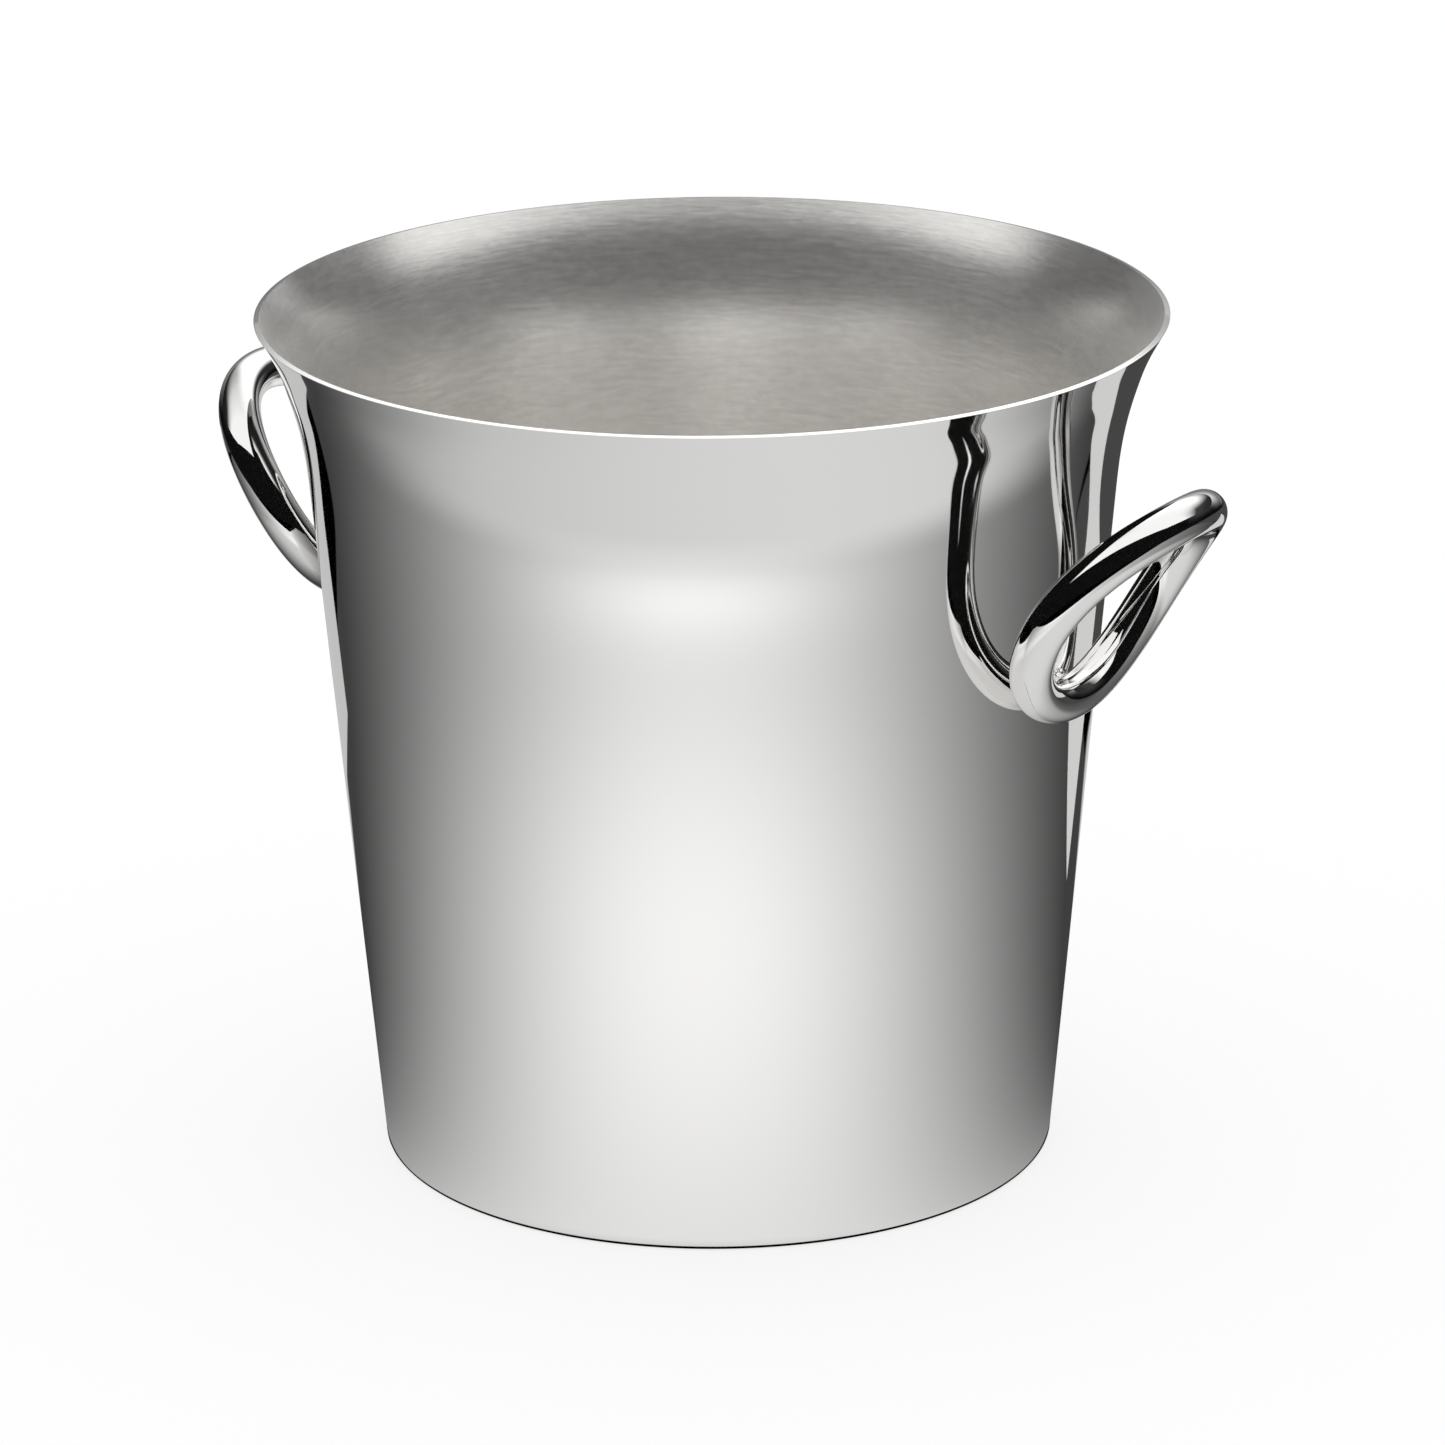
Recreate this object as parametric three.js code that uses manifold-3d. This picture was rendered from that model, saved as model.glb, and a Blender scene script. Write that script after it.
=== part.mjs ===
// Champagne bucket in silver-plated brass: a tapered wall with a flared lip, a base disc
// soldered into its foot, and two ring handles soldered to the wall on opposite sides.
// Millimetres, +Z up. The origin is the centre of the foot on the table, and the handles
// are on +X and -X.
import * as THREE from 'three';
import { mergeVertices } from 'three/addons/utils/BufferGeometryUtils.js';
import Module from 'manifold-3d';

const wasm = await Module();
wasm.setup();

// ---- driving dimensions ----------------------------------------------------------------
const HEIGHT = 210;
const RIM_RADIUS = 110; // outer edge of the lip
const FOOT_RADIUS = 82.5; // outside of the cone, carried down to the table
const WALL_LEAN = THREE.MathUtils.degToRad(5.13); // outward lean of the cone
const FLARE_START = 173.3; // height at which the cone turns into the flare
const SHEET = 1.3; // thickness of the wall and the base
const FOOT_CORNER = 1.5; // outside radius between the wall and the foot
const FOOT_INNER_RADIUS = 76.5; // inner edge of the turned-in foot
const SEAM_LEG = 2.6; // height and width of the solder seam round the base
const JOINT_GAP = 0.3; // clear space between neighbouring pieces

const BAR_RADIUS = 5.25; // round bar of the ring handles
const RING_RADIUS = 29.4; // centreline of a ring before it is bent
const RING_BEND_RADIUS = 83; // the ring is bent round a level axis, like the flare beside it
const RING_LEAN = THREE.MathUtils.degToRad(31.9); // outward lean of the ring's middle
const RING_TWIST = THREE.MathUtils.degToRad(-1.75); // turn about the vertical
const RING_CENTRE = new THREE.Vector3(110.4, -2.2, 156);
const RING_SEAT = 1.0; // the back of the bar is filed flat this far from the wall
const SOLDER_REACH = new THREE.Vector3(5, 10, 7.5); // half sizes of the solder, out, along, up

// ---- how finely curves are cut -----------------------------------------------------------
const ROUND_SEGMENTS = 72;
const FLARE_SEGMENTS = 8;
const CORNER_SEGMENTS = 3;
const RING_SEGMENTS = 56;
const BAR_SIDES = 12;
const SOLDER_SEGMENTS = 24;

// ---- the wall's outline, worked out from the dimensions ------------------------------------
const coneRadius = (z) => FOOT_RADIUS + z * Math.tan(WALL_LEAN);
const innerConeRadius = (z) => coneRadius(z) - SHEET / Math.cos(WALL_LEAN);
const clearOfCone = (z) => innerConeRadius(z) - JOINT_GAP / Math.cos(WALL_LEAN);

// The flare is one arc, tangent to the cone at FLARE_START and ending at the rim. Its
// centre lies outside the bucket.
const outward = new THREE.Vector2(Math.cos(WALL_LEAN), -Math.sin(WALL_LEAN));
const flareFoot = new THREE.Vector2(coneRadius(FLARE_START), FLARE_START);
const flareChord = new THREE.Vector2(RIM_RADIUS, HEIGHT).sub(flareFoot);
const flareRadius = flareChord.lengthSq() / (2 * flareChord.dot(outward));
const flareCentre = flareFoot.clone().addScaledVector(outward, flareRadius);

function arc(centre, radius, from, to, segments) {
  const points = [];
  for (let i = 0; i <= segments; i++) {
    const angle = from + ((to - from) * i) / segments;
    points.push(
      new THREE.Vector2(
        centre.x + radius * Math.cos(angle),
        centre.y + radius * Math.sin(angle),
      ),
    );
  }
  return points;
}

// One side of the flare, from its foot to the level top of the lip.
function flareArc(radius) {
  const footAngle = Math.PI - WALL_LEAN;
  const topAngle = Math.PI - Math.asin((HEIGHT - flareCentre.y) / radius);
  return arc(flareCentre, radius, footAngle, topAngle, FLARE_SEGMENTS);
}

// The rounded corner between the flat foot and the outside of the cone.
function footCorner() {
  const toCone = FOOT_CORNER / Math.cos(WALL_LEAN);
  const centre = new THREE.Vector2(coneRadius(FOOT_CORNER) - toCone, FOOT_CORNER);
  return arc(centre, FOOT_CORNER, -Math.PI / 2, -WALL_LEAN, CORNER_SEGMENTS);
}

// ---- making and cutting solids ---------------------------------------------------------------
function closedGeometry(geometry) {
  geometry.deleteAttribute('normal');
  geometry.deleteAttribute('uv');
  return mergeVertices(geometry);
}

// Turns an outline of (radius, height) points about the Z axis.
function turned(outline) {
  const geometry = new THREE.LatheGeometry(outline, ROUND_SEGMENTS);
  geometry.rotateX(Math.PI / 2);
  return closedGeometry(geometry);
}

function toSolid(geometry) {
  return new wasm.Manifold(
    new wasm.Mesh({
      numProp: 3,
      vertProperties: new Float32Array(geometry.attributes.position.array),
      triVerts: new Uint32Array(geometry.index.array),
    }),
  );
}

function toGeometry(solid) {
  const { vertProperties, triVerts } = solid.getMesh();
  const geometry = new THREE.BufferGeometry();
  geometry.setAttribute('position', new THREE.BufferAttribute(vertProperties, 3));
  geometry.setIndex(new THREE.BufferAttribute(triVerts, 1));
  return geometry;
}

// The solid cone that the wall's outer face bounds, grown by an offset.
function grownCone(offset) {
  const growth = offset / Math.cos(WALL_LEAN);
  return toSolid(
    turned([
      new THREE.Vector2(0, 0),
      new THREE.Vector2(coneRadius(0) + growth, 0),
      new THREE.Vector2(coneRadius(FLARE_START) + growth, FLARE_START),
      new THREE.Vector2(0, FLARE_START),
    ]),
  );
}

// ---- body -------------------------------------------------------------------------------------
function wallGeometry() {
  const outside = [...footCorner(), ...flareArc(flareRadius)];
  const inside = flareArc(flareRadius + SHEET).reverse();
  const footEdge = new THREE.Vector2(FOOT_INNER_RADIUS, 0);
  return turned([
    footEdge,
    ...outside,
    ...inside,
    new THREE.Vector2(innerConeRadius(SHEET), SHEET),
    new THREE.Vector2(FOOT_INNER_RADIUS, SHEET),
    footEdge,
  ]);
}

const discBottom = SHEET + JOINT_GAP;
const discTop = discBottom + SHEET;

function baseGeometry() {
  return turned([
    new THREE.Vector2(0, discBottom),
    new THREE.Vector2(clearOfCone(discBottom), discBottom),
    new THREE.Vector2(clearOfCone(discTop), discTop),
    new THREE.Vector2(0, discTop),
  ]);
}

// A fillet of solder in the corner between the base disc and the wall.
function seamGeometry() {
  const bottom = discTop + JOINT_GAP;
  const top = bottom + SEAM_LEG;
  const corner = new THREE.Vector2(clearOfCone(bottom), bottom);
  const hollow = new THREE.Vector2(corner.x - SEAM_LEG, top);
  return turned([
    corner,
    new THREE.Vector2(clearOfCone(top), top),
    ...arc(hollow, SEAM_LEG, 0, -Math.PI / 2, CORNER_SEGMENTS).slice(1),
    corner,
  ]);
}

// ---- ring handles --------------------------------------------------------------------------------
// A circle bent round a level axis, so that its top and bottom turn away from the bucket,
// then leaned outwards. side is 1 on +X and -1 for the mirror image on -X.
class RingCurve extends THREE.Curve {
  constructor(side) {
    super();
    this.side = side;
  }

  getPoint(t, target = new THREE.Vector3()) {
    const angle = 2 * Math.PI * t;
    const along = -RING_RADIUS * Math.sin(angle);
    const bend = (-RING_RADIUS * Math.cos(angle)) / RING_BEND_RADIUS;
    const up = RING_BEND_RADIUS * Math.sin(bend);
    const out = RING_BEND_RADIUS * (1 - Math.cos(bend));
    target.set(out, along, up);
    target.applyAxisAngle(new THREE.Vector3(0, 1, 0), RING_LEAN);
    target.applyAxisAngle(new THREE.Vector3(0, 0, 1), RING_TWIST);
    target.add(RING_CENTRE);
    target.x *= this.side;
    return target;
  }
}

function ringBar(side, radius) {
  const curve = new RingCurve(side);
  const bar = new THREE.TubeGeometry(curve, RING_SEGMENTS, radius, BAR_SIDES, true);
  return toSolid(closedGeometry(bar));
}

function ringSolid(side) {
  return ringBar(side, BAR_RADIUS).subtract(grownCone(RING_SEAT));
}

// Solder fills the wedge between the wall and the lowest part of the ring.
function solderSolid(side) {
  const lowest = new RingCurve(side).getPoint(0);
  const wallAtRing = coneRadius(lowest.z);
  const drop = new THREE.SphereGeometry(1, SOLDER_SEGMENTS, SOLDER_SEGMENTS / 2);
  drop.scale(SOLDER_REACH.x, SOLDER_REACH.y, SOLDER_REACH.z);
  drop.translate(side * wallAtRing, lowest.y, lowest.z);
  const seatClearance = grownCone(RING_SEAT - JOINT_GAP);
  const roomForRing = ringBar(side, BAR_RADIUS + JOINT_GAP).subtract(seatClearance);
  return toSolid(closedGeometry(drop)).subtract(grownCone(JOINT_GAP)).subtract(roomForRing);
}

// ---- materials -------------------------------------------------------------------------------------
const polishedSilver = () =>
  new THREE.MeshStandardMaterial({ color: 0xdedcd8, roughness: 0.08, metalness: 1 });
const satinSilver = () =>
  new THREE.MeshStandardMaterial({ color: 0xc9c5bd, roughness: 0.35, metalness: 1 });
const solderSilver = () =>
  new THREE.MeshStandardMaterial({ color: 0xb9b6b0, roughness: 0.3, metalness: 1 });

function piece(name, geometry, material) {
  geometry.computeVertexNormals();
  const mesh = new THREE.Mesh(geometry, material);
  mesh.name = name;
  return mesh;
}

// ---- assembly ----------------------------------------------------------------------------------------
const bucket = new THREE.Group();
bucket.add(piece('bucket_wall', wallGeometry(), polishedSilver()));
bucket.add(piece('base_disc', baseGeometry(), satinSilver()));
bucket.add(piece('base_solder_seam', seamGeometry(), solderSilver()));
for (const [name, side] of [
  ['right', 1],
  ['left', -1],
]) {
  bucket.add(piece(`${name}_ring_handle`, toGeometry(ringSolid(side)), polishedSilver()));
  bucket.add(piece(`${name}_solder_joint`, toGeometry(solderSolid(side)), solderSilver()));
}

export default bucket;
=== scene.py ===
"""Looks for the champagne bucket: mirror-polished silver plate outside, a satin lining,
ring handles and solder, in a plain pale studio. Metres, in the CAD frame."""

import math

import bpy
from mathutils import Matrix, Vector, noise
from mathutils.bvhtree import BVHTree


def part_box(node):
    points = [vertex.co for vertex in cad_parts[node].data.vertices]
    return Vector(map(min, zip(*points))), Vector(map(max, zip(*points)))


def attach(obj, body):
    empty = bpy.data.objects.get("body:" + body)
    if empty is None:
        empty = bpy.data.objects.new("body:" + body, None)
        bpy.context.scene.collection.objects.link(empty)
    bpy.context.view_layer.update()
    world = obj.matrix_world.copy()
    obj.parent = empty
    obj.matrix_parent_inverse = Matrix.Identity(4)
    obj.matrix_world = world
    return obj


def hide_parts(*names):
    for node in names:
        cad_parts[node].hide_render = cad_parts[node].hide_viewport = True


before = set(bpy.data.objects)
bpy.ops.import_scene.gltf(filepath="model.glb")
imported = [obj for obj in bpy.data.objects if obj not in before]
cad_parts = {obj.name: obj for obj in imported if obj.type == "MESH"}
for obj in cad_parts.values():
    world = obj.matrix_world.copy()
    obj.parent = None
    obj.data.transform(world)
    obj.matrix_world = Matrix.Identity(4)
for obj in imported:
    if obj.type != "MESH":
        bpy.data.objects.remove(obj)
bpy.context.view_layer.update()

MM = 0.001

# ---- sizes, from the CAD's boxes and its driving dimensions ---------------------------------
WALL_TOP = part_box("bucket_wall")[1]
DISC_LOW, DISC_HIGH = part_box("base_disc")
SEAM_LOW, SEAM_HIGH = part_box("base_solder_seam")
HEIGHT = WALL_TOP.z
RIM_RADIUS = WALL_TOP.x
SHEET = DISC_HIGH.z - DISC_LOW.z
FOOT_RADIUS = 82.5 * MM
WALL_LEAN = math.radians(5.13)
FLARE_START = 173.3 * MM
FOOT_CORNER = 1.5 * MM
FOOT_INNER_RADIUS = 76.5 * MM

BAR_RADIUS = 5.25 * MM
RING_RADIUS = 29.4 * MM
RING_BEND_RADIUS = 83 * MM
RING_LEAN = math.radians(31.9)
RING_TWIST = math.radians(-1.75)
RING_CENTRE = Vector((110.4, -2.2, 156)) * MM

# ---- finer shapes than the CAD has ----------------------------------------------------------
LIP_DROP = 0.3 * MM  # how far the outer edge of the lip lies below its inner edge
LIP_SLOPE = 0.2
LIP_ROUND = 0.12 * MM
LINING = 0.1 * MM  # depth of the sheet that has the satin material
FLARE_BLEND = 9 * MM  # the cone and the flare run into each other over twice this height
BLEND_GROWTH = 0.28 * MM  # how much the blend widens the rim
SPUN_HOLLOW = (0.11 * MM, 196.5 * MM, 3.6 * MM)  # half depth, height and width of a step
SPUN_KICK = (0.068 * MM, 205.5 * MM, 2.5 * MM)
SPUN_RISE = (0.084 * MM, 172 * MM, 20 * MM)  # depth, start and width
RING_SEAT = 0.4 * MM  # the back of a ring is filed flat this far from the wall
PLATE_EDGE = 0.2 * MM
PLATE_GAP = 0.05 * MM
SEAM_WAVES = 0.12 * MM
SHARP_CORNER = 50  # degrees; the wall's edges that turn further are not smoothed

SOLDER_ALONG = 9.0 * MM
SOLDER_UP = 4.0 * MM
SOLDER_FOOT = 1.3 * MM  # width of the solder's thin edge on the wall
SOLDER_SINK = 0.15 * MM  # the solder's hidden faces lie this deep in the metal
SOLDER_LUMPS = 0.12 * MM
SOLDER_WAIST = 0.22

ROUND_SEGMENTS = 288
CONE_STEPS = 16
FLARE_STEPS = 64
BLEND_SAMPLES = 8
CORNER_STEPS = 8
LIP_STEPS = 4
PLATE_STEPS = 12
RING_SEGMENTS = 224
BAR_SIDES = 48
SOLDER_TURNS = 96
SOLDER_STEPS = 8

# ---- outlines -------------------------------------------------------------------------------
def cone_radius(z):
    return FOOT_RADIUS + z * math.tan(WALL_LEAN)


def arc(centre, radius, start, end, steps):
    """Points (radius, height) along an arc, angles in radians."""
    angles = [start + (end - start) * i / steps for i in range(steps + 1)]
    return [
        (centre[0] + radius * math.cos(a), centre[1] + radius * math.sin(a))
        for a in angles
    ]


def flare():
    """Centre and radius of the flare's arc, tangent to the cone and ending at the rim."""
    outward = Vector((math.cos(WALL_LEAN), -math.sin(WALL_LEAN)))
    foot = Vector((cone_radius(FLARE_START), FLARE_START))
    chord = Vector((RIM_RADIUS - BLEND_GROWTH, HEIGHT - LIP_DROP)) - foot
    radius = chord.length_squared / (2 * chord.dot(outward))
    return foot + outward * radius, radius


FLARE_CENTRE, FLARE_RADIUS = flare()


def sharp_radius(z):
    if z <= FLARE_START:
        return cone_radius(z)
    return FLARE_CENTRE.x - math.sqrt(FLARE_RADIUS**2 - (z - FLARE_CENTRE.y) ** 2)


def soft_step(z, half_depth, height, width):
    return half_depth * (1 + math.erf((z - height) / width))


def spun_wave(z):
    """The shallow hollow that the spinning tool left just below the rim."""
    depth, start, width = SPUN_RISE
    share = min(max((z - start) / width, 0), 1)
    rise = depth * share * share * (3 - 2 * share)
    return soft_step(z, *SPUN_KICK) - soft_step(z, *SPUN_HOLLOW) + rise


def wall_radius(z):
    """Radius of the wall's outer face, its cone blended gently into the flare."""
    offsets = range(-BLEND_SAMPLES, BLEND_SAMPLES + 1)
    radii = [sharp_radius(z + FLARE_BLEND * k / BLEND_SAMPLES) for k in offsets]
    return sum(radii) / len(radii) + spun_wave(z)


def wall_point(z, inset):
    """The outer face's point at height z, moved into the sheet along its normal."""
    step = 0.05 * MM
    slope = (wall_radius(z + step) - wall_radius(z - step)) / (2 * step)
    length = math.hypot(1, slope)
    return wall_radius(z) - inset / length, z + inset * slope / length


def wall_profile(inset, low, high):
    """The wall's profile from low to high, closely spaced in the flare."""
    knee = FLARE_START - FLARE_BLEND
    heights = [low + (knee - low) * i / CONE_STEPS for i in range(CONE_STEPS)]
    heights += [knee + (high - knee) * i / FLARE_STEPS for i in range(FLARE_STEPS + 1)]
    return [wall_point(z, inset) for z in heights]


def lip_height(radius):
    """Height of the lip's cut face, which slopes outwards."""
    return HEIGHT - LIP_DROP + (wall_point(HEIGHT - LIP_DROP, 0)[0] - radius) * LIP_SLOPE


def profile_to_lip(inset, low):
    """The wall's profile from low up to the cut face of the lip, ending exactly on it."""
    points = wall_profile(inset, low, HEIGHT)
    drops = [lip_height(radius) - z for radius, z in points]
    last = next(i for i, drop in enumerate(drops) if drop <= 0) - 1
    share = drops[last] / (drops[last] - drops[last + 1])
    end = Vector(points[last]).lerp(Vector(points[last + 1]), share)
    return points[: last + 1] + [tuple(end)]


# ---- mesh helpers ---------------------------------------------------------------------------
def add_mesh(name, vertices, faces, material):
    mesh = bpy.data.meshes.new(name)
    mesh.from_pydata([tuple(v) for v in vertices], [], faces)
    mesh.validate()
    mesh.shade_smooth()
    mesh.materials.append(material)
    piece = bpy.data.objects.new(name, mesh)
    bpy.context.scene.collection.objects.link(piece)
    return piece


def revolve(name, outline, material, ripple=None, sharp=None):
    """Turns an outline of (radius, height) about the Z axis, anticlockwise in that plane.
    An outline that starts on the axis ends on it; any other closes on itself. ripple moves
    its points, and edges that turn by more than sharp degrees are not smoothed."""
    on_axis = outline[0][0] == 0
    ring_points = outline[1:-1] if on_axis else outline
    count = len(ring_points)
    vertices = []
    for i in range(ROUND_SEGMENTS):
        angle = 2 * math.pi * i / ROUND_SEGMENTS
        for k, (radius, z) in enumerate(ring_points):
            if ripple:
                radius, z = ripple(angle, k, radius, z)
            vertices.append((radius * math.cos(angle), radius * math.sin(angle), z))
    faces = []
    for i in range(ROUND_SEGMENTS):
        j = (i + 1) % ROUND_SEGMENTS
        for k in range(count - 1 if on_axis else count):
            m = (k + 1) % count
            faces.append((i * count + k, j * count + k, j * count + m, i * count + m))
    if on_axis:
        low, high = len(vertices), len(vertices) + 1
        vertices += [(0, 0, outline[0][1]), (0, 0, outline[-1][1])]
        for i in range(ROUND_SEGMENTS):
            j = (i + 1) % ROUND_SEGMENTS
            faces.append((low, j * count, i * count))
            faces.append((high, i * count + count - 1, j * count + count - 1))
    piece = add_mesh(name, vertices, faces, material)
    if sharp:
        piece.data.set_sharp_from_angle(angle=math.radians(sharp))
    return piece


# ---- materials ------------------------------------------------------------------------------
class Tree:
    """A node tree, with short ways to add nodes to it."""

    def __init__(self, tree):
        self.tree = tree

    def add(self, kind, inputs=None, **settings):
        node = self.tree.nodes.new("ShaderNode" + kind)
        for key, value in settings.items():
            setattr(node, key, value)
        for key, value in (inputs or {}).items():
            if isinstance(value, bpy.types.NodeSocket):
                self.tree.links.new(value, node.inputs[key])
            else:
                node.inputs[key].default_value = value
        return node

    def math(self, operation, a, b=0.0):
        return self.add("Math", {0: a, 1: b}, operation=operation).outputs[0]

    def plus(self, a, b):
        return self.math("ADD", a, b)

    def times(self, a, b):
        return self.math("MULTIPLY", a, b)

    def less(self, a, b):
        return self.math("SUBTRACT", a, b)

    def larger(self, a, b):
        return self.math("MAXIMUM", a, b)

    def ramp(self, value, start, end, low=0.0, high=1.0, kind="LINEAR"):
        """low up to start, high from end on, and straight in between."""
        levels = {"From Min": start, "From Max": end, "To Min": low, "To Max": high}
        node = self.add("MapRange", {"Value": value, **levels}, interpolation_type=kind)
        return node.outputs["Result"]

    def smooth(self, value, start, end, low=0.0, high=1.0):
        """The same, but with a smooth rise."""
        return self.ramp(value, start, end, low, high, "SMOOTHSTEP")

    def bell(self, value, middle, width):
        """exp(-((value - middle) / width) squared)."""
        from_middle = self.math("DIVIDE", self.less(value, middle), width)
        return self.math("EXPONENT", self.times(self.math("POWER", from_middle, 2.0), -1.0))

    def curve(self, value, stops):
        """A smooth curve through (position, level) stops, with positions from 0 to 1."""
        node = self.add("ValToRGB", {0: value})
        elements = node.color_ramp.elements
        node.color_ramp.interpolation = "B_SPLINE"
        while len(elements) < len(stops):
            elements.new(0.5)
        for element, (position, level) in zip(elements, stops):
            element.position = position
            element.color = (level, level, level, 1)
        return node.outputs[0]

    def blend(self, share, first, second):
        inputs = {0: share, 2: first, 3: second}
        return self.add("Mix", inputs, data_type="FLOAT").outputs[0]

    def split(self, vector):
        return self.add("SeparateXYZ", {0: vector}).outputs


class Material(Tree):
    """A material with a Principled shader."""

    def __init__(self, name, color=None, **settings):
        self.material = bpy.data.materials.new(name)
        self.material.use_nodes = True
        super().__init__(self.material.node_tree)
        self.shader = self.tree.nodes["Principled BSDF"]
        if color:
            self.shader.inputs["Base Color"].default_value = (*color, 1)
        for socket, value in settings.items():
            self.shader.inputs[socket.replace("_", " ")].default_value = value

    @property
    def place(self):
        return self.add("TexCoord").outputs["Object"]

    def to_shader(self, socket, output):
        self.tree.links.new(output, self.shader.inputs[socket])

    def to_output(self, output):
        """Shows this shader instead of the Principled one."""
        self.tree.nodes.remove(self.shader)
        end = next(n for n in self.tree.nodes if n.type == "OUTPUT_MATERIAL")
        self.tree.links.new(output, end.inputs["Surface"])

    def around_axis(self, around, along):
        """Coordinates with no seam, where detail is drawn out round the Z axis, on walls
        and on flat discs."""
        x, y, z = self.split(self.place)
        flat = self.add("CombineXYZ", {"X": x, "Y": y}).outputs[0]
        unit = self.add("VectorMath", {0: flat}, operation="NORMALIZE").outputs[0]
        turn = self.split(unit)
        radius = self.add("VectorMath", {0: flat}, operation="LENGTH").outputs["Value"]
        stretched = {
            "X": self.times(turn["X"], around),
            "Y": self.times(turn["Y"], around),
            "Z": self.times(self.plus(z, radius), along),
        }
        return self.add("CombineXYZ", stretched).outputs[0]

    def noise(self, vector, scale, detail=2.0, rough=0.5):
        inputs = {"Vector": vector, "Scale": scale, "Detail": detail, "Roughness": rough}
        return self.add("TexNoise", inputs).outputs["Fac"]

    def bump(self, height, strength, distance):
        inputs = {"Height": height, "Strength": strength, "Distance": distance}
        self.to_shader("Normal", self.add("Bump", inputs).outputs[0])


# Noise lies mostly between these two values.
NOISE_LOW, NOISE_HIGH = 0.3, 0.7


def polished_silver():
    """Mirror polish on the outside of the wall, with a faint grain."""
    m = Material("polished_silver", (0.93, 0.925, 0.915), Metallic=1.0, Roughness=0.03)
    grain = m.noise(m.place, 1800.0, 3.0)
    m.to_shader("Roughness", m.ramp(grain, NOISE_LOW, NOISE_HIGH, 0.02, 0.05))
    m.bump(m.noise(m.place, 2600.0), 0.02, 0.02 * MM)
    return m.material


def satin_silver():
    """Satin lining and base, brushed round the axis in fine strokes."""
    m = Material("satin_silver", Metallic=0.88, Roughness=0.25, Anisotropic=0.7)
    m.shader.inputs["Anisotropic Rotation"].default_value = 0.25
    strokes = m.noise(m.around_axis(14.0, 900.0), 1.0, 3.0, 0.65)
    cross = m.noise(m.around_axis(45.0, 420.0), 1.0, 3.0, 0.65)
    both = m.plus(m.times(cross, 0.4), m.times(strokes, 0.6))
    dull, bright = (0.9, 0.886, 0.863, 1), (1.0, 0.985, 0.96, 1)
    tone = m.add("MixRGB", {0: m.ramp(both, 0.4, 0.6), 1: dull, 2: bright})
    m.to_shader("Base Color", tone.outputs[0])
    m.to_shader("Roughness", m.ramp(both, 0.25, 0.75, 0.23, 0.27))
    tangent = m.add("Tangent", direction_type="RADIAL", axis="Z")
    m.to_shader("Tangent", tangent.outputs[0])
    m.bump(both, 0.32, 0.1 * MM)
    return m.material


def handle_silver():
    """Polished round bar, not quite even."""
    m = Material("handle_silver", (0.94, 0.935, 0.925), Metallic=1.0, Roughness=0.03)
    grain = m.noise(m.place, 900.0, 3.0)
    m.to_shader("Roughness", m.ramp(grain, NOISE_LOW, NOISE_HIGH, 0.02, 0.06))
    m.bump(m.noise(m.place, 160.0), 0.03, 0.2 * MM)
    return m.material


def solder_silver():
    """Solder under the plating: a little rougher, with small lumps."""
    m = Material("solder_silver", (0.86, 0.855, 0.84), Metallic=1.0, Roughness=0.12)
    grain = m.noise(m.place, 500.0)
    m.to_shader("Roughness", m.ramp(grain, NOISE_LOW, NOISE_HIGH, 0.08, 0.22))
    m.bump(m.noise(m.place, 700.0, 3.0), 0.35, 0.2 * MM)
    return m.material


POLISHED = polished_silver()
SATIN = satin_silver()
HANDLE = handle_silver()
SOLDER = solder_silver()


# ---- body -----------------------------------------------------------------------------------
def offset_cone(z, inset):
    """Radius at height z of the cone moved inwards by inset."""
    return cone_radius(z) - inset / math.cos(WALL_LEAN)


def corner_arc():
    centre = (offset_cone(FOOT_CORNER, FOOT_CORNER), FOOT_CORNER)
    return arc(centre, FOOT_CORNER, -math.pi / 2, -WALL_LEAN, CORNER_STEPS)


def wall_outside():
    """The sheet's outer side, its foot and the cut face of the lip, which slopes outwards."""
    lip_outer = Vector(wall_point(HEIGHT - LIP_DROP, 0))
    back = profile_to_lip(SHEET - LINING, SHEET)
    lip_inner = Vector(back[-1])
    slope = (lip_outer - lip_inner).normalized()
    outside = corner_arc() + wall_profile(0, FOOT_CORNER * 2, lip_outer.y - LIP_ROUND)
    tangent = (lip_outer - Vector(outside[-1])).normalized()
    lip = [
        tuple(lip_outer - tangent * LIP_ROUND * 0.5),
        tuple(lip_outer - (tangent + slope) * LIP_ROUND * 0.15),
        tuple(lip_outer - slope * LIP_ROUND),
    ]
    lip += [tuple(lip_outer.lerp(lip_inner, i / LIP_STEPS)) for i in range(1, LIP_STEPS)]
    outline = [(FOOT_INNER_RADIUS, 0)] + outside + lip + back[::-1]
    outline += [(FOOT_INNER_RADIUS, SHEET)]
    return revolve("wall_outside", outline, POLISHED, sharp=SHARP_CORNER)


def wall_inside():
    """The satin side of the sheet, inside the bucket."""
    back = profile_to_lip(SHEET - LINING * 0.9, SHEET)
    front = profile_to_lip(SHEET, SHEET)
    return revolve("wall_inside", back + front[::-1], SATIN, sharp=SHARP_CORNER)


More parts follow.
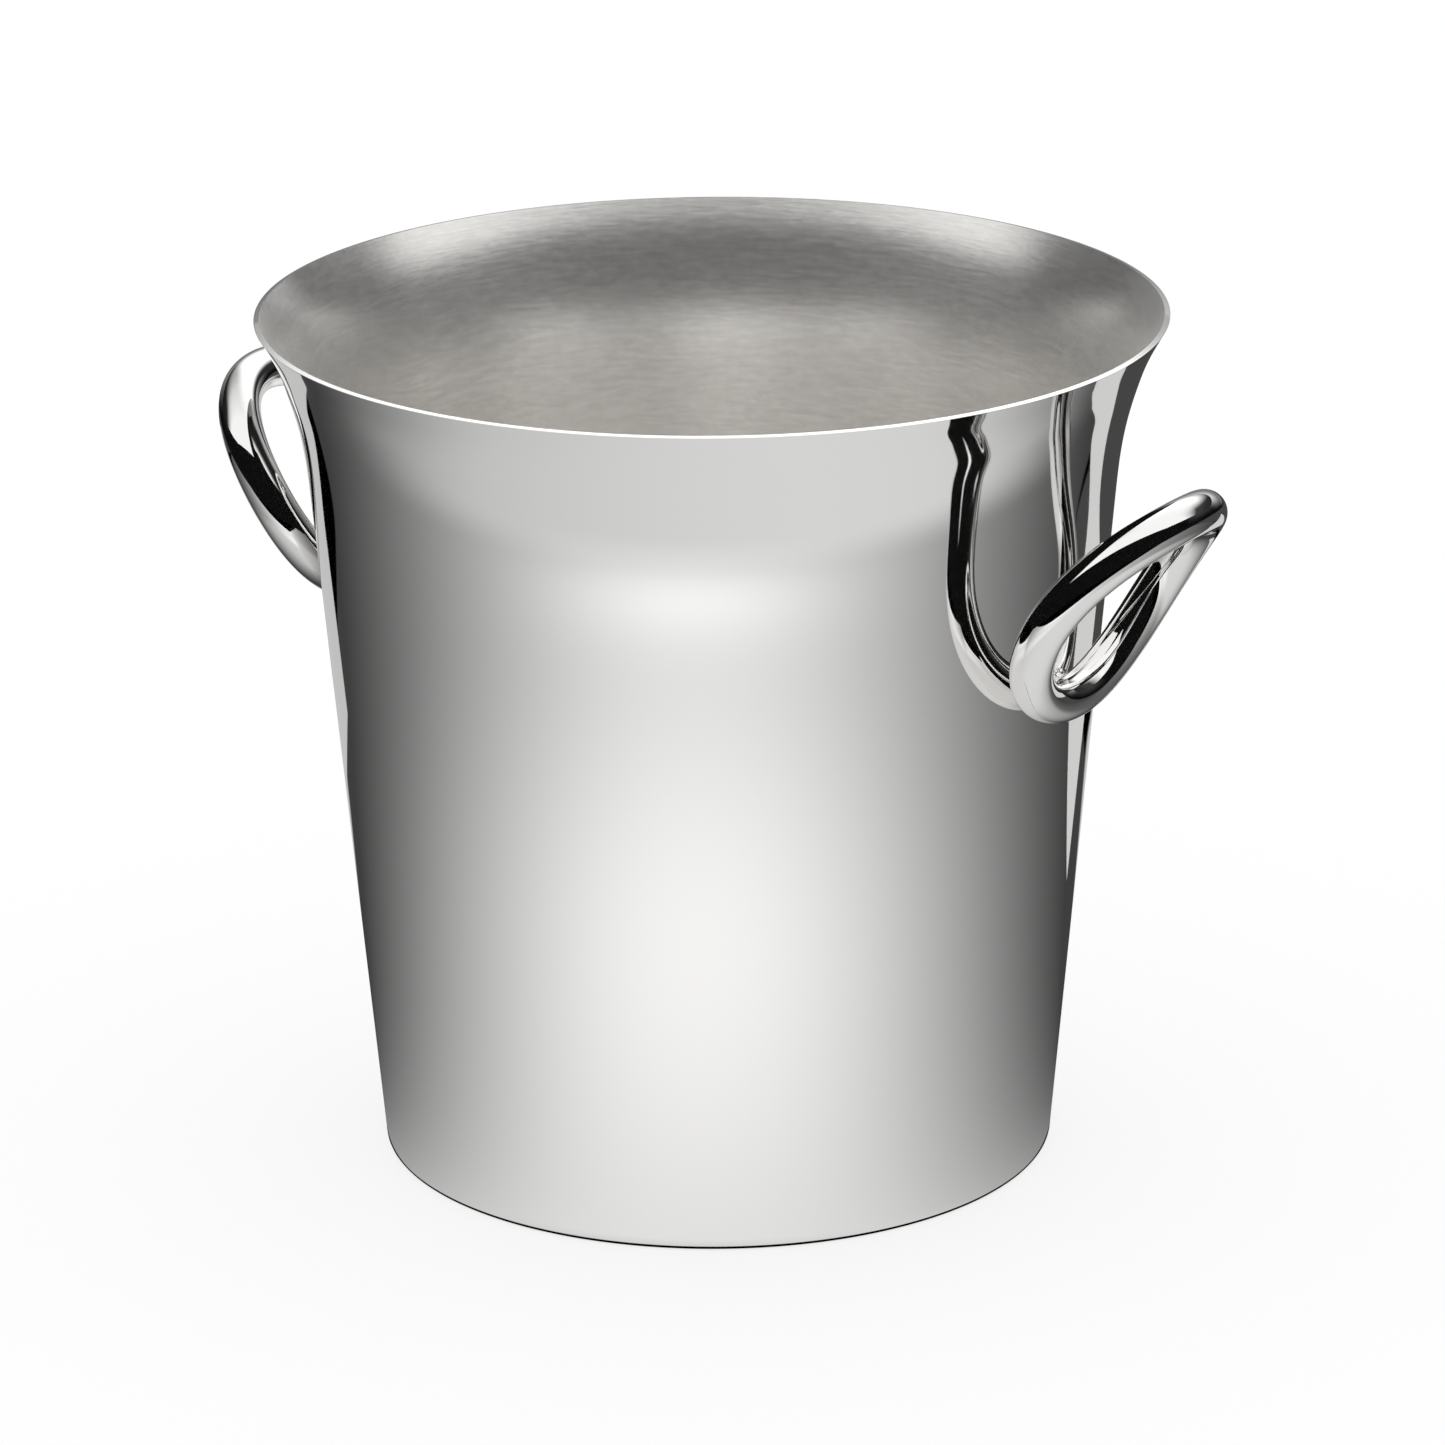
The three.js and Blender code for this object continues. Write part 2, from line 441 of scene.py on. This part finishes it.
def base_plate():
    """The flat bottom, with softened edges and rings of points for its shading."""
    low = offset_cone(DISC_LOW.z, SHEET + PLATE_GAP)
    high = offset_cone(DISC_HIGH.z, SHEET + PLATE_GAP)
    outline = [(0, DISC_LOW.z)]
    outline += [(low * i / PLATE_STEPS, DISC_LOW.z) for i in range(1, PLATE_STEPS)]
    outline += [(low - PLATE_EDGE, DISC_LOW.z), (low, DISC_LOW.z + PLATE_EDGE)]
    outline += [(high, DISC_HIGH.z - PLATE_EDGE), (high - PLATE_EDGE, DISC_HIGH.z)]
    outline += [(high * i / PLATE_STEPS, DISC_HIGH.z) for i in range(PLATE_STEPS - 1, 0, -1)]
    outline += [(0, DISC_HIGH.z)]
    return revolve("base_plate", outline, SATIN)


def base_seam():
    """The solder fillet round the base, with the slight waves of a hand-run seam."""
    leg = SEAM_HIGH.z - SEAM_LOW.z
    low, high = DISC_HIGH.z, SEAM_HIGH.z
    corner = offset_cone(low, SHEET)
    hollow = (corner - leg, high)
    meniscus = arc(hollow, leg, 0, -math.pi / 2, CORNER_STEPS)

    def waves(angle, index, radius, z):
        if index < 2:
            return radius, z
        place = Vector((math.cos(angle), math.sin(angle), index * 0.05)) * 9
        return radius + SEAM_WAVES * noise.noise(place), z

    outline = [(corner, low), (offset_cone(high, SHEET), high)] + meniscus[1:]
    return revolve("base_seam", outline, SOLDER, ripple=waves)


# ---- ring handles ---------------------------------------------------------------------------
def ring_point(share, side):
    """Centreline of a ring: a circle bent round a level axis and leaned outwards."""
    angle = 2 * math.pi * share
    bend = -RING_RADIUS * math.cos(angle) / RING_BEND_RADIUS
    point = Vector(
        (
            RING_BEND_RADIUS * (1 - math.cos(bend)),
            -RING_RADIUS * math.sin(angle),
            RING_BEND_RADIUS * math.sin(bend),
        )
    )
    point = Matrix.Rotation(RING_LEAN, 3, "Y") @ point
    point = Matrix.Rotation(RING_TWIST, 3, "Z") @ point + RING_CENTRE
    point.x *= side
    return point


def clear_of_wall(point):
    """How far a point is from the cone, along the cone's normal."""
    return (math.hypot(point.x, point.y) - cone_radius(point.z)) * math.cos(WALL_LEAN)


def wall_normal(point):
    out = Vector((point.x, point.y, 0)).normalized() * math.cos(WALL_LEAN)
    return out - Vector((0, 0, math.sin(WALL_LEAN)))


def ring_shape(side):
    """Vertices and faces of the bar, with its back filed flat where it meets the wall."""
    step = 0.25 / RING_SEGMENTS
    vertices = []
    for i in range(RING_SEGMENTS):
        share = i / RING_SEGMENTS
        centre = ring_point(share, side)
        ahead = (ring_point(share + step, side) - ring_point(share - step, side)).normalized()
        inward = Vector((side * RING_CENTRE.x, RING_CENTRE.y, RING_CENTRE.z)) - centre
        inward = (inward - ahead * inward.dot(ahead)).normalized()
        across = ahead.cross(inward)
        for k in range(BAR_SIDES):
            angle = 2 * math.pi * k / BAR_SIDES
            around = inward * math.cos(angle) + across * math.sin(angle)
            point = centre + around * BAR_RADIUS
            short = RING_SEAT - clear_of_wall(point)
            if short > 0:
                point += wall_normal(point) * short
            vertices.append(point)
    faces = []
    for i in range(RING_SEGMENTS):
        j = (i + 1) % RING_SEGMENTS
        for k in range(BAR_SIDES):
            m = (k + 1) % BAR_SIDES
            here, ahead = i * BAR_SIDES, j * BAR_SIDES
            faces.append((here + m, ahead + m, ahead + k, here + k))
    return vertices, faces


# ---- solder at the handles ------------------------------------------------------------------
def solder_shape(side, ring):
    """Solder that fills the narrow gap between the ring and the wall, with a concave,
    slightly lumpy edge. It is worked out along spokes from the point of contact."""
    tree = BVHTree.FromPolygons(ring[0], ring[1])
    lowest = ring_point(0, side)
    out = wall_normal(lowest)
    contact = lowest - out * clear_of_wall(lowest)
    along = Vector((0, 0, 1)).cross(out).normalized()
    up = out.cross(along).normalized()

    def on_wall(spoke, reach):
        point = contact + spoke * reach
        return point - wall_normal(point) * clear_of_wall(point)

    def on_ring(point):
        normal = wall_normal(point)
        hit = tree.ray_cast(point - normal * MM, normal)
        return hit[0] if hit[0] else point + normal * BAR_RADIUS

    rows = []
    for i in range(SOLDER_TURNS):
        angle = 2 * math.pi * i / SOLDER_TURNS
        spoke = along * math.cos(angle) + up * math.sin(angle)
        reach = 1 / math.hypot(math.cos(angle) / SOLDER_ALONG, math.sin(angle) / SOLDER_UP)
        wobble = noise.noise(Vector((math.cos(angle), math.sin(angle), side)) * 3)
        reach *= 1 + 0.08 * wobble
        edge = reach + SOLDER_FOOT * (1 + 0.3 * wobble)
        touch_foot = on_wall(spoke, reach)
        touch = on_ring(touch_foot)
        foot = on_wall(spoke, edge)
        waist = touch_foot.lerp(touch, SOLDER_WAIST)
        row = []
        for k in range(1, SOLDER_STEPS + 1):
            point = on_ring(on_wall(spoke, reach * k / SOLDER_STEPS))
            row.append(point + wall_normal(point) * SOLDER_SINK)
        for k in range(1, SOLDER_STEPS):
            share = k / SOLDER_STEPS
            point = touch.lerp(waist, share).lerp(waist.lerp(foot, share), share)
            row.append(point + spoke * noise.noise(point * 900) * SOLDER_LUMPS)
        for k in range(SOLDER_STEPS, 0, -1):
            point = on_wall(spoke, edge * k / SOLDER_STEPS)
            row.append(point - wall_normal(point) * SOLDER_SINK)
        rows.append(row)
    count = len(rows[0])
    vertices = [point for row in rows for point in row]
    faces = []
    for i in range(SOLDER_TURNS):
        j = (i + 1) % SOLDER_TURNS
        for k in range(count - 1):
            faces.append((i * count + k, i * count + k + 1, j * count + k + 1, j * count + k))
    top, bottom = len(vertices), len(vertices) + 1
    vertices.append(on_ring(contact) + out * SOLDER_SINK)
    vertices.append(contact - out * SOLDER_SINK)
    for i in range(SOLDER_TURNS):
        j = (i + 1) % SOLDER_TURNS
        faces.append((top, i * count, j * count))
        faces.append((bottom, j * count + count - 1, i * count + count - 1))
    return vertices, faces


# ---- assembly -------------------------------------------------------------------------------
def place(piece, slot, *nodes):
    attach(piece, "root")
    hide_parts(*nodes)


place(wall_outside(), "polished_silver", "bucket_wall")
place(wall_inside(), "satin_silver", "bucket_wall")
place(base_plate(), "satin_silver", "base_disc")
place(base_seam(), "solder", "base_solder_seam")
for hand, side in (("right", 1), ("left", -1)):
    ring = ring_shape(side)
    place(
        add_mesh(f"{hand}_ring", ring[0], ring[1], HANDLE),
        "handle_silver",
        f"{hand}_ring_handle",
    )
    fillet = solder_shape(side, ring)
    place(
        add_mesh(f"{hand}_solder", fillet[0], fillet[1], SOLDER),
        "solder",
        f"{hand}_solder_joint",
    )


# ---- studio ---------------------------------------------------------------------------------
# The camera sees a plain pale floor and background. The polished metal reflects the rest
# of the studio instead: a soft box overhead, a round glowing table with painted light from
# the camera's side and a painted contact shadow at the foot, two low cards behind and a dark
# room with a paler back. Studio positions are in metres, with X to the camera's right and Y
# away from it. Bearings on the table are from the camera's side, positive to the right.
STUDIO_BEARING = math.radians(31.28)
STUDIO_TURN = Matrix.Rotation(STUDIO_BEARING, 4, "Z")

CAMERA_AZIMUTH = math.radians(31.22)
CAMERA_ELEVATION = math.radians(18.55)
CAMERA_ROLL = math.radians(0.447)
CAMERA_DISTANCE = 1739 * MM
CAMERA_AIM = Vector((1.52, 0.92, 105.24)) * MM
CAMERA_LENS = 176.9
CAMERA_SENSOR = 36

FLOOR_HALF = 30.0
FLOOR_LEVEL = -0.02 * MM
FLOOR_GLOW = 1.06
FLOOR_GLOW_SHARE = 0.7

TABLE_RADIUS = 1.2
TABLE_LEVEL = -0.05 * MM
TABLE_TURNS = 96
TABLE_REACH_LEVELS = [
    (0.08, 0.82),
    (0.14, 0.92),
    (0.21, 1.0),
    (0.27, 0.96),
    (0.33, 0.85),
    (0.39, 0.78),
    (0.5, 0.77),
]
TABLE_LIT_BEARING = (math.radians(-4), math.radians(76))  # middle and width
TABLE_SPOT_BEARING = (math.radians(-6), math.radians(34))
TABLE_SPOT_REACH = (0.425, 0.035)
TABLE_STEEP_BEARING = (math.radians(25), math.radians(187))
TABLE_SIDES = (math.radians(60), math.radians(150))
TABLE_NEAR_EDGE = (-0.45, -0.44)
TABLE_FAR_EDGE = (0.262, 0.268)
TABLE_FAR_EDGE_SKEW = 0.12
TABLE_BEHIND = (math.radians(144), math.radians(148), math.radians(178))
TABLE_BEHIND_TURN = (0.31, 0.4, 0.0, math.radians(20))
TABLE_REAR = (0.40, 0.41, 0.0, 0.06)
TABLE_REAR_SKEW = 0.45
# Painted contact shadow on the glowing table round the foot: black within the first distance
# of the foot's edge, full brightness from the second.
PAINTED_CONTACT_SHADOW = (0.9 * MM, 1.2 * MM)

SOFT_BOX_HEIGHT = 0.86
SOFT_BOX_DEPTH = 2.5
SOFT_BOX_RIGHT = [(0, 1), (0.12, 1), (0.32, 1), (0.47, 0.6), (0.75, 0.48), (1, 0.42)]
SOFT_BOX_LEFT = [(0, 1), (0.05, 0.9), (0.16, 0.65), (0.23, 0.46), (0.32, 0.33), (0.75, 0.2)]
SOFT_BOX_EDGE = [
    (0.25, -0.46),
    (0.55, -0.44),
    (1.0, -0.36),
    (1.3, -0.2),
    (1.55, 0.0),
    (2.1, 0.5),
    (2.6, 0.95),
    (3.0, 2.5),
]


def emitting(name):
    """A material that only gives light, and the socket for its strength."""
    m = Material(name)
    light = m.add("Emission")
    m.to_output(light.outputs[0])
    return m, light.inputs["Strength"]


def stage_sheet(name, corners, material, for_camera=False):
    """A flat piece of the studio that either the camera sees or the metal reflects."""
    piece = add_mesh(name, corners, [tuple(range(len(corners)))], material)
    piece.matrix_world = STUDIO_TURN
    piece.visible_camera = for_camera
    piece.visible_glossy = not for_camera
    piece.visible_diffuse = False
    piece.visible_shadow = False


def pale_floor():
    """What the camera sees: a white floor with a soft shadow at the foot."""
    m = Material("pale_floor")
    white = m.add("BsdfDiffuse", {"Color": (0.9, 0.9, 0.9, 1)})
    glow = m.add("Emission", {"Color": (1, 1, 1, 1), "Strength": FLOOR_GLOW})
    both = m.add(
        "MixShader", {0: FLOOR_GLOW_SHARE, 1: white.outputs[0], 2: glow.outputs[0]}
    )
    m.to_output(both.outputs[0])
    signs = ((-1, -1), (1, -1), (1, 1), (-1, 1))
    corners = [(a * FLOOR_HALF, b * FLOOR_HALF, FLOOR_LEVEL) for a, b in signs]
    stage_sheet("floor", corners, m.material, for_camera=True)


def lit_table():
    """The round table as the metal reflects it, a glowing sheet with painted light and shade:
    brightest towards the camera, painted dark at the sides, less bright where it is seen
    steeply, and a painted black contact shadow where the foot meets it."""
    m, strength = emitting("lit_table")
    x, y, _ = m.split(m.place)
    bearing = m.math("ARCTAN2", x, m.times(y, -1.0))
    aside = m.math("ABSOLUTE", bearing)
    reach = m.math("SQRT", m.plus(m.times(x, x), m.times(y, y)))

    # Painted light on the glowing table: a broad pool towards the camera with a brighter spot,
    # fainter where seen steeply, painted dark at the sides.
    shallow = m.times(m.bell(bearing, *TABLE_LIT_BEARING), m.curve(reach, TABLE_REACH_LEVELS))
    spot = m.times(m.bell(bearing, *TABLE_SPOT_BEARING), 0.24)
    spot = m.times(spot, m.bell(reach, *TABLE_SPOT_REACH))
    shallow = m.times(m.plus(shallow, spot), 0.99)
    steep = m.times(m.bell(bearing, *TABLE_STEEP_BEARING), 0.7)
    steep = m.times(steep, m.less(1.0, m.smooth(aside, *TABLE_SIDES)))
    facing = m.add("LayerWeight", {"Blend": 0.5}).outputs["Facing"]
    level = m.larger(m.blend(m.smooth(facing, 0.34, 0.5), steep, shallow), 0.05)

    # Painted shade past the table's near and far edges, and painted paler zones behind the
    # bucket.
    past_edge = m.plus(y, m.times(x, TABLE_FAR_EDGE_SKEW))
    level = m.times(level, m.ramp(past_edge, *TABLE_FAR_EDGE, 1.0, 0.0))
    level = m.times(level, m.ramp(y, *TABLE_NEAR_EDGE))
    turned = m.less(aside, m.smooth(reach, *TABLE_BEHIND_TURN))
    first, second, third = TABLE_BEHIND
    behind = m.ramp(turned, first, second, 0.0, 0.55)
    behind = m.plus(behind, m.ramp(turned, second, third, 0.0, 0.3))
    rear = m.plus(y, m.times(m.larger(x, 0.0), TABLE_REAR_SKEW))
    level = m.larger(level, m.larger(behind, m.ramp(rear, *TABLE_REAR)))
    # Painted contact shadow: the glowing table is black where the foot meets it.
    from_foot = m.math("ABSOLUTE", m.less(reach, FOOT_RADIUS - 0.2 * MM))
    level = m.times(level, m.ramp(from_foot, *PAINTED_CONTACT_SHADOW))
    m.tree.links.new(level, strength)

    angles = [2 * math.pi * i / TABLE_TURNS for i in range(TABLE_TURNS)]
    corners = [
        (TABLE_RADIUS * math.cos(a), TABLE_RADIUS * math.sin(a), TABLE_LEVEL) for a in angles
    ]
    stage_sheet("lit_table", corners, m.material)


def soft_box():
    """A wide soft box overhead. Its light falls off towards the back, the left and its
    rear corners, and is strongest at one place behind the bucket."""
    m, strength = emitting("soft_box")
    x, y, _ = m.split(m.place)
    depth = m.math("DIVIDE", y, SOFT_BOX_DEPTH)
    right, left = m.curve(depth, SOFT_BOX_RIGHT), m.curve(depth, SOFT_BOX_LEFT)
    rightness = m.smooth(m.plus(x, m.times(y, 0.45)), -0.1, 0.25)
    level = m.blend(rightness, left, right)
    past_side = m.smooth(m.math("ABSOLUTE", x), 0.5, 1.25, 0.0, 0.95)
    past_side = m.times(past_side, m.ramp(y, 0.05, 0.5))
    level = m.times(level, m.less(1.0, past_side))
    hot = m.times(m.bell(x, 0.1, 0.7), m.bell(y, 1.2, 0.5))
    level = m.times(level, m.plus(m.times(hot, 1.2), 0.98))
    m.tree.links.new(level, strength)
    outline = SOFT_BOX_EDGE + [(-x, y) for x, y in SOFT_BOX_EDGE[::-1]]
    stage_sheet("soft_box", [(x, y, SOFT_BOX_HEIGHT) for x, y in outline], m.material)


def card(name, start, end, height, level):
    """An upright card on the table, from start to end, both (x, y)."""
    m, strength = emitting(name)
    strength.default_value = level
    corners = [(*start, 0), (*end, 0), (*end, height), (*start, height)]
    stage_sheet(name, corners, m.material)


def surroundings():
    """White for the camera and for the floor's soft shadow; a dark room with a paler back
    for the metal."""
    world = bpy.data.worlds.new("studio")
    world.use_nodes = True
    t = Tree(world.node_tree)
    reflected = t.add("LightPath").outputs["Is Glossy Ray"]
    direction = t.add("TexCoord").outputs["Generated"]
    turned = t.add(
        "VectorRotate",
        {"Vector": direction, "Angle": -STUDIO_BEARING},
        rotation_type="Z_AXIS",
    )
    x, y, z = t.split(turned.outputs[0])
    to_back = t.smooth(y, -0.05, 0.35)
    to_right = t.smooth(x, -0.3, 0.6, 0.28, 1.0)
    upward = t.smooth(z, -0.12, 0.38)
    ahead = t.smooth(t.math("ABSOLUTE", x), 0.45, 0.8, 1.0, 0.05)
    glow = t.times(t.times(to_back, to_right), t.times(upward, ahead))
    skirting = t.times(t.smooth(y, 0.8, 0.93, 0.0, 0.2), t.smooth(z, -0.14, -0.07))
    room = t.larger(t.larger(glow, skirting), 0.004)
    background = t.tree.nodes["Background"]
    background.inputs["Color"].default_value = (1, 1, 1, 1)
    t.tree.links.new(t.blend(reflected, 1.0, room), background.inputs["Strength"])
    bpy.context.scene.world = world


def camera():
    data = bpy.data.cameras.new("camera")
    data.lens = CAMERA_LENS
    data.sensor_width = CAMERA_SENSOR
    data.clip_start, data.clip_end = 0.05, 100
    piece = bpy.data.objects.new("camera", data)
    flat = math.cos(CAMERA_ELEVATION)
    back = Vector(
        (
            math.sin(CAMERA_AZIMUTH) * flat,
            -math.cos(CAMERA_AZIMUTH) * flat,
            math.sin(CAMERA_ELEVATION),
        )
    )
    level = (-back).to_track_quat("-Z", "Y").to_matrix().to_4x4()
    roll = Matrix.Rotation(-CAMERA_ROLL, 4, "Z")
    stand = Matrix.Translation(CAMERA_AIM + back * CAMERA_DISTANCE)
    piece.matrix_world = stand @ level @ roll
    bpy.context.scene.collection.objects.link(piece)
    bpy.context.scene.camera = piece


pale_floor()
lit_table()
soft_box()
card("left_card", (-0.244, 0.24), (-0.12, 0.24), 0.11, 0.55)
card("right_card", (0.169, 0.133), (0.295, 0.18), 0.09, 0.64)
surroundings()
camera()
bpy.context.scene.view_settings.view_transform = "Standard"
